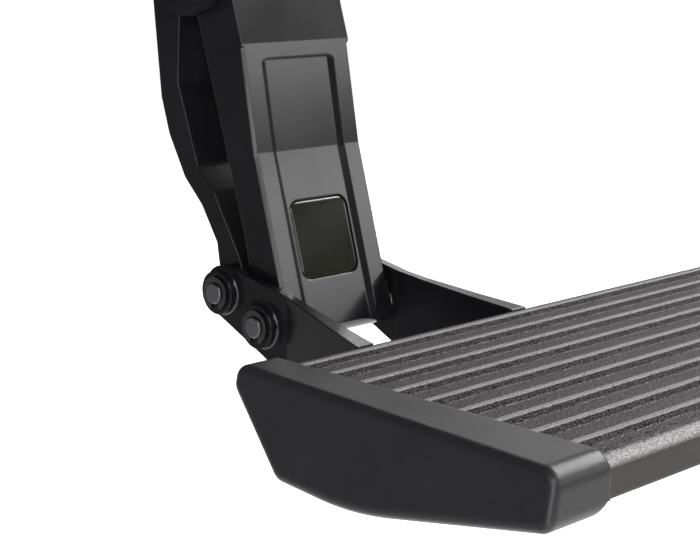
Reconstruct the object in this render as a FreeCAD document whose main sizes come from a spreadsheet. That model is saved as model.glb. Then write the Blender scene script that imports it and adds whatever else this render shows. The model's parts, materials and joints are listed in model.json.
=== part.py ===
import FreeCAD, Part
import math
import os
import re
import Sketcher

# Power running board: two parallel-arm linkages carry a ribbed board under the sill of a vehicle.
# X runs along the board to the driven end, Y points inboard, Z is up.
# The origin is at mid span on the plane of the two bracket flanges.

SIZES = {
    "linkage_spacing": 952.5,
    "end_overhang": 98.75,
    "arm_length": 150,
    "arm_lean": 17,
    "pivot_across": 25.4,
    "pivot_rise": 11.1,
    "upper_drop": 54,
    "board_reach": 71.6,
    "board_step": 6.6,
    "board_width": 155.5,
    "board_depth": 31,
    "nose_height": 16,
    "nose_band": 8.5,
    "rib_count": 9,
    "rib_pitch": 16.5,
    "rib_first": 8.6,
    "rib_width": 2.4,
    "rib_flare": 2.8,
    "rib_height": 2,
    "slot_first": 42,
    "slot_pitch": 30,
    "slot_width": 8.6,
    "cap_inner": 18,
    "cap_outer": 27,
    "cap_wall": 3.2,
    "cap_lip": 3.4,
    "cap_round": 3.6,
    "cap_lean": 13,
    "arm_width": 64,
    "arm_wall": 6,
    "arm_bevel": 1.4,
    "panel_depth": 1.4,
    "panel_width": 37,
    "panel_slope": 3.2,
    "badge_width": 34.4,
    "badge_length": 34.6,
    "pin_radius": 4.75,
    "pin_clearance": 0.03,
    "bush_wall": 1.75,
    "bush_flange": 1.2,
    "side_gap": 0.35,
    "plate_thickness": 8,
    "plate_splay": 11,
    "foot_thickness": 6.5,
    "flange_thickness": 8,
    "flange_length": 144,
    "flange_width": 100,
    "bolt_spacing_x": 112,
    "bolt_spacing_y": 68,
    "bolt_hole": 5.25,
    "gear_module": 2,
    "gear_teeth": 24,
    "pinion_teeth": 12,
    "gear_width": 8,
    "can_radius": 18,
    "can_length": 84,
}

# Lengths that follow from the sizes
FORMULAS = {
    "link_x": "linkage_spacing / 2",
    "board_length": "linkage_spacing + 2 * end_overhang",
    "upper_outer_y": "-pivot_across / 2",
    "upper_outer_z": "-upper_drop - pivot_rise",
    "upper_inner_y": "pivot_across / 2",
    "upper_inner_z": "-upper_drop",
    "lower_outer_y": "upper_outer_y - arm_length * sin(arm_lean * 1deg)",
    "lower_outer_z": "upper_outer_z - arm_length * cos(arm_lean * 1deg)",
    "lower_inner_y": "lower_outer_y + pivot_across",
    "lower_inner_z": "lower_outer_z + pivot_rise",
    "board_y": "lower_outer_y - board_reach",
    "board_z": "lower_outer_z + board_step",
    "step_inner_y": "board_reach + pivot_across",
    "step_inner_z": "pivot_rise - board_step",
    "inside_x": "arm_width / 2 + bush_flange + side_gap",
    "outside_x": "inside_x + plate_thickness",
    "bush_radius": "pin_radius + pin_clearance + bush_wall",
    "gear_radius": "gear_module * gear_teeth / 2",
    "pinion_radius": "gear_module * pinion_teeth / 2",
    "pinion_y": "upper_inner_y + gear_radius + pinion_radius",
    "gear_x": "outside_x + 3",
    "motor_x": "gear_x + gear_width + 4",
}

doc = FreeCAD.newDocument("power_running_board")
sheet = doc.addObject("Spreadsheet::Sheet", "Sizes")
for row, (alias, number) in enumerate(SIZES.items(), 1):
    sheet.set("A%d" % row, alias)
    sheet.set("B%d" % row, str(number))
    sheet.setAlias("B%d" % row, alias)
doc.recompute()

WORD = re.compile(r"[a-z]+(?:_[a-z]+)+")


def spell(text):
    """Write a formula with the sheet's cells in it."""
    def swap(match):
        word = match.group(0)
        if word in FORMULAS:
            return "(" + spell(FORMULAS[word]) + ")"
        return "Sizes." + word
    return WORD.sub(swap, str(text))


def number(text):
    """The value of a formula now."""
    return float(sheet.evalExpression(spell(text)))


def bind(thing, prop, text):
    """Tie a property to a formula of the sheet."""
    thing.setExpression(prop, spell(text))


def new_body(name):
    body = doc.addObject("PartDesign::Body", name)
    body.Label = name
    return body


def place(thing, x=0, y=0, z=0, lean=None):
    """Tie the place of a sub-part, and its lean about X, to the sheet."""
    if lean is not None:
        turn = FreeCAD.Rotation(FreeCAD.Vector(1, 0, 0), number(lean))
        thing.Placement = FreeCAD.Placement(FreeCAD.Vector(0, 0, 0), turn)
    bind(thing, ".Placement.Base.x", x)
    bind(thing, ".Placement.Base.y", y)
    bind(thing, ".Placement.Base.z", z)
    return thing


def sketch_on(body, name, plane, offset=0):
    sketch = body.newObject("Sketcher::SketchObject", name)
    planes = {item.Role: item for item in body.Origin.OriginFeatures}
    sketch.AttachmentSupport = [(planes[plane], "")]
    sketch.MapMode = "FlatFace"
    bind(sketch, "AttachmentOffset.Base.z", offset)
    return sketch


def hold(sketch, kind, shape, point, text):
    """Hold one coordinate of a point at a formula."""
    index = sketch.addConstraint(Sketcher.Constraint(kind, -1, 1, shape, point, number(text)))
    bind(sketch, "Constraints[%d]" % index, text)


def outline(sketch, corners):
    """A closed outline through corners given as pairs of formulas."""
    spots = [FreeCAD.Vector(number(u), number(v), 0) for u, v in corners]
    count = len(spots)
    first = sketch.GeometryCount
    for i in range(count):
        sketch.addGeometry(Part.LineSegment(spots[i], spots[(i + 1) % count]))
    for i in range(count):
        sketch.addConstraint(Sketcher.Constraint("Coincident", first + i, 2, first + (i + 1) % count, 1))
    for i, (u, v) in enumerate(corners):
        hold(sketch, "DistanceX", first + i, 1, u)
        hold(sketch, "DistanceY", first + i, 1, v)
    return sketch


def ring(sketch, u, v, radius):
    """A circle at a point given by formulas."""
    centre = FreeCAD.Vector(number(u), number(v), 0)
    shape = sketch.addGeometry(Part.Circle(centre, FreeCAD.Vector(0, 0, 1), number(radius)))
    index = sketch.addConstraint(Sketcher.Constraint("Radius", shape, number(radius)))
    bind(sketch, "Constraints[%d]" % index, radius)
    hold(sketch, "DistanceX", shape, 3, u)
    hold(sketch, "DistanceY", shape, 3, v)
    return sketch


def pad(body, sketch, length, both=True, back=False):
    feature = body.newObject("PartDesign::Pad", sketch.Name + "_pad")
    feature.Profile = sketch
    feature.SideType = "Symmetric" if both else "One side"
    feature.Reversed = back
    bind(feature, "Length", length)
    sketch.Visibility = False
    doc.recompute()
    return feature


def pocket(body, sketch, length=None, both=True, back=False):
    feature = body.newObject("PartDesign::Pocket", sketch.Name + "_cut")
    feature.Profile = sketch
    feature.SideType = "Symmetric" if both else "One side"
    feature.Reversed = back
    if length is None:
        feature.Type = "ThroughAll"
    else:
        bind(feature, "Length", length)
    sketch.Visibility = False
    doc.recompute()
    return feature


def edges_at(shape, axis, spots, reach=0.05):
    """Names of the straight edges along an axis that pass through the given spots of the other two axes."""
    names = []
    for i, edge in enumerate(shape.Edges, 1):
        if edge.Curve.TypeId != "Part::GeomLine":
            continue
        along = edge.tangentAt(edge.FirstParameter)
        if abs(along[axis]) < 0.999:
            continue
        middle = edge.CenterOfMass
        flat = [middle[k] for k in range(3) if k != axis]
        if any(abs(flat[0] - u) < reach and abs(flat[1] - v) < reach for u, v in spots):
            names.append("Edge%d" % i)
    return names


def soften(body, name, axis, corners, radius, kind="Fillet"):
    """Round or bevel the edges along an axis at corners given as pairs of formulas."""
    spots = [(number(u), number(v)) for u, v in corners]
    base = body.Tip
    names = edges_at(base.Shape, axis, spots)
    if not names:
        raise ValueError("no edge for " + name)
    feature = body.newObject("PartDesign::" + kind, name)
    feature.Base = (base, names)
    bind(feature, "Radius" if kind == "Fillet" else "Size", radius)
    doc.recompute()
    return feature


def edges_by(shape, points, reach=0.05):
    """Names of the edges that pass through the given points."""
    spots = [Part.Vertex(point) for point in points]
    return ["Edge%d" % i for i, edge in enumerate(shape.Edges, 1)
            if any(edge.distToShape(spot)[0] < reach for spot in spots)]


def rim_of(shape, towards):
    """Names of the edges around the widest flat face that looks in a direction."""
    faces = [face for face in shape.Faces if face.Surface.TypeId == "Part::GeomPlane"]
    ends = [face for face in faces if face.normalAt(0, 0).dot(towards) > 0.9]
    widest = max(ends, key=lambda face: face.Area)
    return ["Edge%d" % i for i, edge in enumerate(shape.Edges, 1)
            if any(edge.isSame(e) for e in widest.Edges)]


def soften_named(body, name, names, radius):
    """Round edges that are given by name."""
    base = body.Tip
    feature = body.newObject("PartDesign::Fillet", name)
    feature.Base = (base, names)
    bind(feature, "Radius", radius)
    doc.recompute()
    return feature


parts = []


def keep(thing):
    parts.append(thing)
    return thing


def group(name, shapes):
    """A node of several like solids, made from one modelled solid."""
    thing = doc.addObject("Part::Feature", name)
    thing.Label = name
    thing.Shape = Part.makeCompound(shapes)
    return keep(thing)


def copy_at(shape, x, y, z):
    copy = shape.copy()
    copy.translate(FreeCAD.Vector(number(x), number(y), number(z)))
    return copy


# Tread board: a hollow extrusion with ribs on top and two bolt slots underneath
board = keep(new_body("tread_board"))
section = outline(sketch_on(board, "board_section", "YZ_Plane"), [
    ("0", "-rib_height"),
    ("0", "-6"),
    ("-22", "3 - board_depth"),
    ("-28", "-board_depth"),
    ("-slot_first - slot_pitch - 24", "-board_depth"),
    ("-board_width", "-nose_height"),
    ("-board_width", "-rib_height - 0.4"),
    ("nose_band - board_width", "-rib_height - 0.4"),
    ("nose_band - board_width", "-rib_height"),
])
pad(board, section, "board_length")
soften(board, "nose_round", 0, [("-board_width", "-rib_height - 0.4")], "4.8")
soften(board, "nose_under", 0, [("-board_width", "-nose_height")], "2")
soften(board, "heel_round", 0, [("-22", "3 - board_depth"), ("-28", "-board_depth")], "3")
rib = outline(sketch_on(board, "rib_section", "YZ_Plane"), [
    ("-rib_first + rib_width / 2", "0"),
    ("-rib_first - rib_width / 2", "0"),
    ("-rib_first - rib_width / 2 - rib_flare", "-rib_height - 0.2"),
    ("-rib_first + rib_width / 2 + rib_flare", "-rib_height - 0.2"),
])
rib_pad = pad(board, rib, "board_length")
ribs = board.newObject("PartDesign::LinearPattern", "ribs")
ribs.Originals = [rib_pad]
ribs.Direction = (rib, ["H_Axis"])
ribs.Reversed = True
bind(ribs, "Length", "rib_pitch * (rib_count - 1)")
bind(ribs, "Occurrences", "rib_count")
board.Tip = ribs
doc.recompute()

slots = sketch_on(board, "bolt_slots", "YZ_Plane")
for centre in ("slot_first", "slot_first + slot_pitch"):
    outline(slots, [
        ("-(%s) + slot_width / 2" % centre, "-board_depth - 1"),
        ("-(%s) + slot_width / 2" % centre, "3.2 - board_depth"),
        ("-(%s) + slot_width / 2 + 3.6" % centre, "3.2 - board_depth"),
        ("-(%s) + slot_width / 2 + 3.6" % centre, "10 - board_depth"),
        ("-(%s) - slot_width / 2 - 3.6" % centre, "10 - board_depth"),
        ("-(%s) - slot_width / 2 - 3.6" % centre, "3.2 - board_depth"),
        ("-(%s) - slot_width / 2" % centre, "3.2 - board_depth"),
        ("-(%s) - slot_width / 2" % centre, "-board_depth - 1"),
    ])
pocket(board, slots)

# The open cells of the section, given once and used again for the plugs of the end caps
CELLS = {
    "heel_cell": [("-5", "-5"), ("-26", "5 - board_depth"), ("11 - slot_first", "5 - board_depth"),
                  ("11 - slot_first", "-5")],
    "inner_cell": [("8 - slot_first", "-5"), ("8 - slot_first", "13 - board_depth"),
                   ("-slot_first - slot_pitch / 2 + 1.5", "13 - board_depth"),
                   ("-slot_first - slot_pitch / 2 + 1.5", "-5")],
    "outer_cell": [("-slot_first - slot_pitch / 2 - 1.5", "-5"),
                   ("-slot_first - slot_pitch / 2 - 1.5", "13 - board_depth"),
                   ("-slot_first - slot_pitch - 8", "13 - board_depth"),
                   ("-slot_first - slot_pitch - 8", "-5")],
    "belly_cell": [("-slot_first - slot_pitch - 11", "-5"),
                   ("-slot_first - slot_pitch - 11", "3.2 - board_depth"),
                   ("-slot_first - slot_pitch - 24", "3.2 - board_depth"),
                   ("46 - board_width", "-nose_height - 8.6"), ("46 - board_width", "-5")],
    "nose_cell": [("43 - board_width", "-5"), ("43 - board_width", "-nose_height - 7.8"),
                  ("18 - board_width", "-nose_height - 1.4"), ("18 - board_width", "-5")],
}
cells = sketch_on(board, "board_cells", "YZ_Plane")
for corners in CELLS.values():
    outline(cells, corners)
ring(cells, "8 - board_width", "-9.5", "3.4")
pocket(board, cells)

# Screws that hold the caps go up through the belly of the board into the cap plugs
SCREW_Y = "-slot_first - slot_pitch - 18"
cap_holes = sketch_on(board, "cap_screw_holes", "XY_Plane", "-board_depth")
for end in ("-1", "1"):
    ring(cap_holes, "(%s) * (board_length / 2 - 9)" % end, SCREW_Y, "2.1")
pocket(board, cap_holes, "5", both=False, back=True)
place(board, 0, "board_y", "board_z")

# End cap: a moulded shell that butts on the cut end and plugs into two cells
cap = keep(new_body("near_end_cap"))
cap_shape = [
    ("0.8", "-6"),
    ("0.8", "cap_lip"),
    ("-board_width - 0.4", "-0.4"),
    ("-board_width - 0.4", "-nose_height - 4.2"),
    ("-0.45 * board_width", "-board_depth - 4.4"),
    ("-30", "-board_depth - 2"),
]
cap_section = outline(sketch_on(cap, "cap_section", "YZ_Plane"), cap_shape)
pad(cap, cap_section, "cap_outer + 12", both=False, back=True)
soften(cap, "cap_belly", 0, [("-0.45 * board_width", "-board_depth - 4.4")], "150")
soften(cap, "cap_heel", 0, [("-30", "-board_depth - 2")], "8")
soften(cap, "cap_hip", 0, [("0.8", "-6")], "6")
soften(cap, "cap_nose_top", 0, [("-board_width - 0.4", "-0.4")], "7.5")
soften(cap, "cap_nose_under", 0, [("-board_width - 0.4", "-nose_height - 4.2")], "5.5")
soften(cap, "cap_lip_round", 0, [("0.8", "cap_lip")], "5")
# The end leans outward going down, and stands further out at the nose
CAP_RAKE = number("(cap_outer - cap_inner) / (board_width + 0.4)")
CAP_SLANT = math.tan(math.radians(number("cap_lean")))
trim = outline(sketch_on(cap, "cap_end_plane", "YZ_Plane"), [
    ("-2 * board_width", "-2 * board_width"), ("2 * board_width", "-2 * board_width"),
    ("2 * board_width", "2 * board_width"), ("-2 * board_width", "2 * board_width")])
trim.setExpression("AttachmentOffset.Base.z", None)
trim.AttachmentOffset = FreeCAD.Placement(
    FreeCAD.Vector(0, 0, number("-cap_inner")),
    FreeCAD.Rotation(FreeCAD.Vector(0, 0, 1), FreeCAD.Vector(-CAP_RAKE, -CAP_SLANT, 1)))
pocket(cap, trim, "60", both=False)
soften_named(cap, "cap_end_round", rim_of(cap.Tip.Shape, FreeCAD.Vector(-1, 0, 0)), "cap_round")
# The rim of the cap rises to the board's nose, along the belly
BELLY_RISE = math.atan2(number("board_depth + 0.2 - nose_height"), number("0.55 * board_width + 0.4"))
relief = outline(sketch_on(cap, "cap_relief", "XZ_Plane"), [
    ("-6.8", "-0.3"), ("-5.2", "0.6"), ("-2.6", "3"), ("-1.2", "4.2"),
    ("1", "4.2"), ("1", "-6"), ("-6.8", "-6")])
relief.setExpression("AttachmentOffset.Base.z", None)
relief.AttachmentOffset = FreeCAD.Placement(
    FreeCAD.Vector(0, number("-nose_height - 4.2") + 6 * math.sin(BELLY_RISE),
                   number("board_width + 0.4") + 6 * math.cos(BELLY_RISE)),
    FreeCAD.Rotation(FreeCAD.Vector(1, 0, 0), -math.degrees(BELLY_RISE)))
pocket(cap, relief, "38", both=False)
hollow = outline(sketch_on(cap, "cap_hollow", "YZ_Plane"), [
    ("0.8 - cap_wall", "-5"),
    ("0.8 - cap_wall", "cap_lip - cap_wall - 1"),
    ("-75", "-cap_wall"),
    ("cap_wall + 3 - board_width", "-cap_wall - 1.2"),
    ("cap_wall - 0.4 - board_width", "-cap_wall - 5"),
    ("cap_wall - 0.4 - board_width", "4 - nose_height"),
    ("30.5 - board_width", "13 - board_depth"),
    ("43.5 - board_width", "cap_wall + 6.8 - board_depth"),
    ("-0.45 * board_width", "cap_wall - 1.6 - board_depth"),
    ("-34", "cap_wall - 1 - board_depth"),
])
pocket(cap, hollow, "cap_inner - 7", both=False, back=False)
plugs = sketch_on(cap, "cap_plugs", "YZ_Plane", "6.5 - cap_inner")
outline(plugs, [
    ("7.6 - slot_first", "-5.4"),
    ("7.6 - slot_first", "13.4 - board_depth"),
    ("-slot_first - slot_pitch / 2 + 1.9", "13.4 - board_depth"),
    ("-slot_first - slot_pitch / 2 + 1.9", "-5.4"),
])
outline(plugs, [
    ("-slot_first - slot_pitch - 11.4", "-5.4"),
    ("-slot_first - slot_pitch - 11.4", "3.3 - board_depth"),
    ("-slot_first - slot_pitch - 24", "3.3 - board_depth"),
    ("46.4 - board_width", "-nose_height - 8.2"),
    ("46.4 - board_width", "-5.4"),
])
pad(cap, plugs, "cap_inner - 6.5 + 18", both=False)
pilot = ring(sketch_on(cap, "cap_pilot", "XY_Plane", "-board_depth"), "9", SCREW_Y, "1.6")
pocket(cap, pilot, "14", both=False, back=True)
place(cap, "-board_length / 2", "board_y", "board_z")
doc.recompute()
far_cap = keep(doc.addObject("Part::Mirroring", "far_end_cap"))
far_cap.Label = "far_end_cap"
far_cap.Source = cap
far_cap.Normal = FreeCAD.Vector(1, 0, 0)
far_cap.Base = FreeCAD.Vector(0, 0, 0)

# Pan head screws of the end caps
screw = doc.addObject("Part::Cylinder", "cap_screw_shank")
screw.Radius = 1.6
screw.Height = 13
screw_head = doc.addObject("Part::Cylinder", "cap_screw_head")
screw_head.Radius = 3.6
screw_head.Height = 2.2
screw_head.Placement.Base.z = -2.2
screw_solid = doc.addObject("Part::Fuse", "cap_screw")
screw_solid.Base = screw
screw_solid.Tool = screw_head
doc.recompute()
group("end_cap_screws", [
    copy_at(screw_solid.Shape, "(%s) * (board_length / 2 - 9)" % end, "board_y + " + SCREW_Y,
            "board_z - board_depth")
    for end in ("-1", "1")
])

SIDES = {"near": "-link_x", "far": "link_x"}


# Stirrup: two splayed plates with pin bosses, joined by a foot under the board
def make_stirrup(side):
    body = keep(new_body(side + "_stirrup"))
    side_view = outline(sketch_on(body, side + "_stirrup_side", "YZ_Plane"), [
        ("-slot_first - slot_pitch - 14", "-board_depth"),
        ("-27.6", "-board_depth"),
        ("-21.4", "2.5 - board_depth"),
        ("1", "-5.9"),
        ("1", "-1.5"),
        ("23", "2"),
        ("46", "6"),
        ("step_inner_y - 4", "step_inner_z + 11.3"),
        ("step_inner_y + 7", "step_inner_z - 9"),
        ("board_reach + 1", "-board_step - 13"),
        ("40", "-board_depth - foot_thickness + 1"),
        ("34", "-board_depth - foot_thickness"),
        ("-slot_first - slot_pitch - 14", "-board_depth - foot_thickness"),
    ])
    pad(body, side_view, "2 * (outside_x + plate_splay)")
    bosses = sketch_on(body, side + "_stirrup_boss", "YZ_Plane")
    ring(bosses, "step_inner_y", "step_inner_z", "11.5")
    pad(body, bosses, "2 * outside_x")
    inside = outline(sketch_on(body, side + "_stirrup_inside", "XY_Plane", "-board_depth"), [
        ("-inside_x", "step_inner_y + 20"),
        ("inside_x", "step_inner_y + 20"),
        ("inside_x", "board_reach - 12"),
        ("inside_x + plate_splay - 1.5", "4"),
        ("inside_x + plate_splay - 1.5", "-30"),
        ("-inside_x - plate_splay + 1.5", "-30"),
        ("-inside_x - plate_splay + 1.5", "4"),
        ("-inside_x", "board_reach - 12"),
    ])
    pocket(body, inside, "80", both=False, back=True)
    window = outline(sketch_on(body, side + "_stirrup_window", "XY_Plane", "-board_depth"), [
        ("-inside_x", "step_inner_y + 20"),
        ("inside_x", "step_inner_y + 20"),
        ("inside_x", "board_reach - 12"),
        ("inside_x + plate_splay - 1.5", "4"),
        ("-inside_x - plate_splay + 1.5", "4"),
        ("-inside_x", "board_reach - 12"),
    ])
    pocket(body, window)
    for turn in ("-1", "1"):
        name = side + ("_stirrup_flank_a" if turn == "-1" else "_stirrup_flank_b")
        flank = outline(sketch_on(body, name, "XY_Plane"), [
            ("(%s) * (outside_x - 3.4)" % turn, "step_inner_y + 20"),
            ("(%s) * (outside_x - 3.4)" % turn, "board_reach - 15"),
            ("(%s) * (outside_x + plate_splay)" % turn, "0"),
            ("(%s) * (outside_x + plate_splay + 9)" % turn, "-8"),
            ("(%s) * (outside_x + plate_splay + 9)" % turn, "step_inner_y + 20"),
        ])
        pocket(body, flank)
        name = side + ("_pin_boss_a" if turn == "-1" else "_pin_boss_b")
        raised = sketch_on(body, name, "YZ_Plane", "(%s) * inside_x" % turn)
        ring(raised, "board_reach", "-board_step", "9.6")
        ring(raised, "step_inner_y", "step_inner_z", "9.6")
        pad(body, raised, "plate_thickness + 0.5", both=False, back=turn == "-1")
        foot = number("(%s) * (outside_x - 3.4)" % turn)
        rims = [FreeCAD.Vector(foot, number("board_reach"), number("-board_step - 9.6")),
                FreeCAD.Vector(foot, number("step_inner_y"), number("step_inner_z - 9.6"))]
        soften_named(body, name + "_root", edges_by(body.Tip.Shape, rims), "1.5")
    bores = sketch_on(body, side + "_stirrup_bores", "YZ_Plane")
    ring(bores, "board_reach", "-board_step", "pin_radius")
    ring(bores, "step_inner_y", "step_inner_z", "pin_radius")
    pocket(body, bores)
    feet = sketch_on(body, side + "_stirrup_feet", "XY_Plane", "-board_depth")
    for x in ("-26", "26"):
        for y in ("-slot_first", "-slot_first - slot_pitch"):
            ring(feet, x, y, "4.3")
    pocket(body, feet)
    soften(body, side + "_stirrup_toe", 0, [("34", "-board_depth - foot_thickness")], "12")
    return place(body, SIDES[side], "board_y", "board_z")


# Outer arm: a broad channel with a slight bend, a shallow sunk front panel and a seat for the badge plate
FRONT_TOE = ("-9.2", "-9.4")
FRONT_BEND = ("-11.2", "arm_length * 0.48")
FRONT_TOP = ("-17", "arm_length * 0.79")


def behind(station, depth):
    """A point at a depth behind a corner of the arm's front."""
    return ("%s + %s" % (station[0], depth), station[1])


def front_sketch(body, name, depth="0", low=FRONT_TOE, high=FRONT_BEND):
    """A sketch on one of the arm's two sloping front faces, or at a depth behind it; up is along the arm."""
    sketch = sketch_on(body, name, "XZ_Plane")
    rise = (number(low[0]) - number(high[0])) / (number(high[1]) - number(low[1]))
    out = -number(low[0]) - rise * number(low[1])
    turn = FreeCAD.Rotation(FreeCAD.Vector(1, 0, 0), math.degrees(math.atan(rise)))
    sketch.setExpression("AttachmentOffset.Base.z", None)
    sketch.AttachmentOffset = FreeCAD.Placement(FreeCAD.Vector(0, 0, out - number(depth)), turn)
    return sketch


def upright_box(sketch, left, right, low, high):
    return outline(sketch, [(left, low), (right, low), (right, high), (left, high)])


def round_corners(body, name, sketch, box, depth, radius):
    """Round the four edges that run square to a front sketch through the corners of its box."""
    left, right, low, high = [number(side) for side in box]
    doc.recompute()
    frame = body.Placement.inverse().multiply(sketch.getGlobalPlacement())
    spots = [frame.multVec(FreeCAD.Vector(u, v, depth)) for u in (left, right) for v in (low, high)]
    soften_named(body, name, edges_by(body.Tip.Shape, spots), radius)


BADGE_LOW = "arm_length * 0.1"


def make_outer_arm(side):
    body = keep(new_body(side + "_outer_arm"))
    side_view = outline(sketch_on(body, side + "_arm_side", "YZ_Plane"), [
        FRONT_TOE,
        FRONT_BEND,
        FRONT_TOP,
        (FRONT_TOP[0], "arm_length + 13"),
        ("12.5", "arm_length + 13"),
        ("12.5", "arm_length - 2"),
        ("7", "arm_length - 14"),
        ("6.5", "40"),
        ("8.6", "14"),
        ("8.6", "-9.4"),
    ])
    pad(body, side_view, "arm_width")
    soften(body, side + "_arm_toe", 0, [FRONT_TOE, ("8.6", "-9.4")], "8")
    soften(body, side + "_arm_head", 0, [(FRONT_TOP[0], "arm_length + 13"), ("12.5", "arm_length + 13")], "11")
    channel = outline(sketch_on(body, side + "_arm_channel", "YZ_Plane"), [
        ("-0.9", "arm_length * 0.12"),
        behind(FRONT_BEND, "9"),
        behind(FRONT_TOP, "9"),
        (behind(FRONT_TOP, "9")[0], "arm_length * 0.86"),
        ("30", "arm_length * 0.86"),
        ("30", "arm_length * 0.12"),
    ])
    pocket(body, channel, "arm_width - 2 * arm_wall")
    bevels = front_sketch(body, side + "_arm_bevels")
    for left, right in (("-arm_width / 2 - 10", "arm_bevel - arm_width / 2"),
                        ("arm_width / 2 - arm_bevel", "arm_width / 2 + 10")):
        upright_box(bevels, left, right, "9", "arm_length * 0.48 + 1.4")
    pocket(body, bevels, "arm_bevel", both=False).TaperAngle = -45
    bevels = front_sketch(body, side + "_arm_bevels_high", low=FRONT_BEND, high=FRONT_TOP)
    for left, right in (("-arm_width / 2 - 10", "arm_bevel - arm_width / 2"),
                        ("arm_width / 2 - arm_bevel", "arm_width / 2 + 10")):
        upright_box(bevels, left, right, "arm_length * 0.48 - 1.4", "arm_length * 0.79")
    pocket(body, bevels, "arm_bevel", both=False).TaperAngle = -45
    panel_side = [
        ("panel_depth - 9.1", "-14"),
        behind(FRONT_BEND, "panel_depth"),
        ("panel_depth - 16.1", "arm_length * 0.745"),
        ("-30", "arm_length * 0.76"),
        ("-30", "-14"),
    ]
    pocket(body, outline(sketch_on(body, side + "_arm_panel", "YZ_Plane"), panel_side), "panel_width")
    for turn, name in (("-1", "_panel_slope_a"), ("1", "_panel_slope_b")):
        slope = outline(sketch_on(body, side + name, "YZ_Plane", "(%s) * panel_width / 2" % turn), panel_side)
        cut = pocket(body, slope, "panel_slope", both=False, back=turn == "1")
        cut.TaperAngle = -math.degrees(math.atan2(number("panel_depth"), number("panel_slope")))
    doc.recompute()
    seat = front_sketch(body, side + "_badge_seat")
    seat_box = ("-badge_width / 2 - 0.3", "badge_width / 2 + 0.3",
                BADGE_LOW, BADGE_LOW + " + badge_length + 0.6")
    upright_box(seat, *seat_box)
    pocket(body, seat, "panel_depth + 1.6", both=False)
    round_corners(body, side + "_seat_corners", seat, seat_box, -number("panel_depth + 1"), "5.3")
    bores = sketch_on(body, side + "_arm_bores", "YZ_Plane")
    ring(bores, "0", "0", "bush_radius")
    ring(bores, "0", "arm_length", "bush_radius")
    pocket(body, bores)
    place(body, SIDES[side], "lower_outer_y", "lower_outer_z", lean="-arm_lean")
    badge = keep(new_body(side + "_badge_plate"))
    plate = front_sketch(badge, side + "_badge_face", "panel_depth + 1.6")
    plate_box = ("-badge_width / 2", "badge_width / 2",
                 BADGE_LOW + " + 0.3", BADGE_LOW + " + badge_length + 0.3")
    upright_box(plate, *plate_box)
    pad(badge, plate, "1.4", both=False)
    round_corners(badge, side + "_badge_corners", plate, plate_box, 0.7, "5")
    place(badge, SIDES[side], "lower_outer_y", "lower_outer_z", lean="-arm_lean")


# Inner arm: cranked inboard so that it clears the outer arm when folded
def make_inner_arm(side):
    body = keep(new_body(side + "_inner_arm"))
    side_view = outline(sketch_on(body, side + "_crank_side", "YZ_Plane"), [
        ("-9", "0"),
        ("-7.5", "14"),
        ("-4", "28"),
        ("0", "44"),
        ("7", "57"),
        ("8.5", "arm_length - 55"),
        ("-10.5", "arm_length - 4"),
        ("-8", "arm_length + 7"),
        ("8", "arm_length + 7"),
        ("10.8", "arm_length - 4"),
        ("21.5", "arm_length - 58"),
        ("21.5", "75"),
        ("17", "54"),
        ("9.5", "40"),
        ("4.5", "22"),
        ("6", "12"),
        ("9", "0"),
        ("7", "-6"),
        ("-7", "-6"),
    ])
    pad(body, side_view, "arm_width")
    soften(body, side + "_crank_bends", 0, [("7", "57"), ("17", "54"), ("9.5", "40"), ("0", "44")], "9")
    bosses = sketch_on(body, side + "_crank_bosses", "YZ_Plane")
    ring(bosses, "0", "0", "9.4")
    ring(bosses, "0", "arm_length", "11")
    pad(body, bosses, "arm_width")
    channel = outline(sketch_on(body, side + "_crank_channel", "YZ_Plane"), [
        ("30", "34"),
        ("3.5", "34"),
        ("6", "43"),
        ("13", "56"),
        ("14.5", "76"),
        ("14.5", "arm_length - 55"),
        ("4", "arm_length - 27"),
        ("30", "arm_length - 27"),
    ])
    pocket(body, channel, "arm_width - 2 * arm_wall - 2")
    bores = sketch_on(body, side + "_crank_bores", "YZ_Plane")
    ring(bores, "0", "0", "bush_radius")
    ring(bores, "0", "arm_length", "bush_radius")
    pocket(body, bores)
    place(body, SIDES[side], "lower_inner_y", "lower_inner_z", lean="-arm_lean")


for side in SIDES:
    make_stirrup(side)
    make_outer_arm(side)
    make_inner_arm(side)


def turned(name, profile):
    """A body turned about X from a half profile of formulas (distance along X, radius)."""
    body = new_body(name)
    sketch = outline(sketch_on(body, name + "_profile", "XY_Plane"), profile)
    feature = body.newObject("PartDesign::Revolution", name + "_turn")
    feature.Profile = sketch
    feature.ReferenceAxis = (sketch, ["H_Axis"])
    feature.Angle = 360
    sketch.Visibility = False
    doc.recompute()
    return body


def flip(shape):
    return shape.mirror(FreeCAD.Vector(0, 0, 0), FreeCAD.Vector(1, 0, 0))


# Pivot pin with a groove for a clip near each end
PIN_END = "outside_x + 2.9"
pin = turned("pivot_pin", [
    ("-(%s)" % PIN_END, "0"),
    ("-(%s)" % PIN_END, "pin_radius - 0.6"),
    ("0.6 - (%s)" % PIN_END, "pin_radius"),
    ("1.1 - (%s)" % PIN_END, "pin_radius"),
    ("1.1 - (%s)" % PIN_END, "pin_radius - 0.7"),
    ("2.3 - (%s)" % PIN_END, "pin_radius - 0.7"),
    ("2.3 - (%s)" % PIN_END, "pin_radius"),
    ("(%s) - 2.3" % PIN_END, "pin_radius"),
    ("(%s) - 2.3" % PIN_END, "pin_radius - 0.7"),
    ("(%s) - 1.1" % PIN_END, "pin_radius - 0.7"),
    ("(%s) - 1.1" % PIN_END, "pin_radius"),
    ("(%s) - 0.6" % PIN_END, "pin_radius"),
    (PIN_END, "pin_radius - 0.6"),
    (PIN_END, "0"),
])

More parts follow.
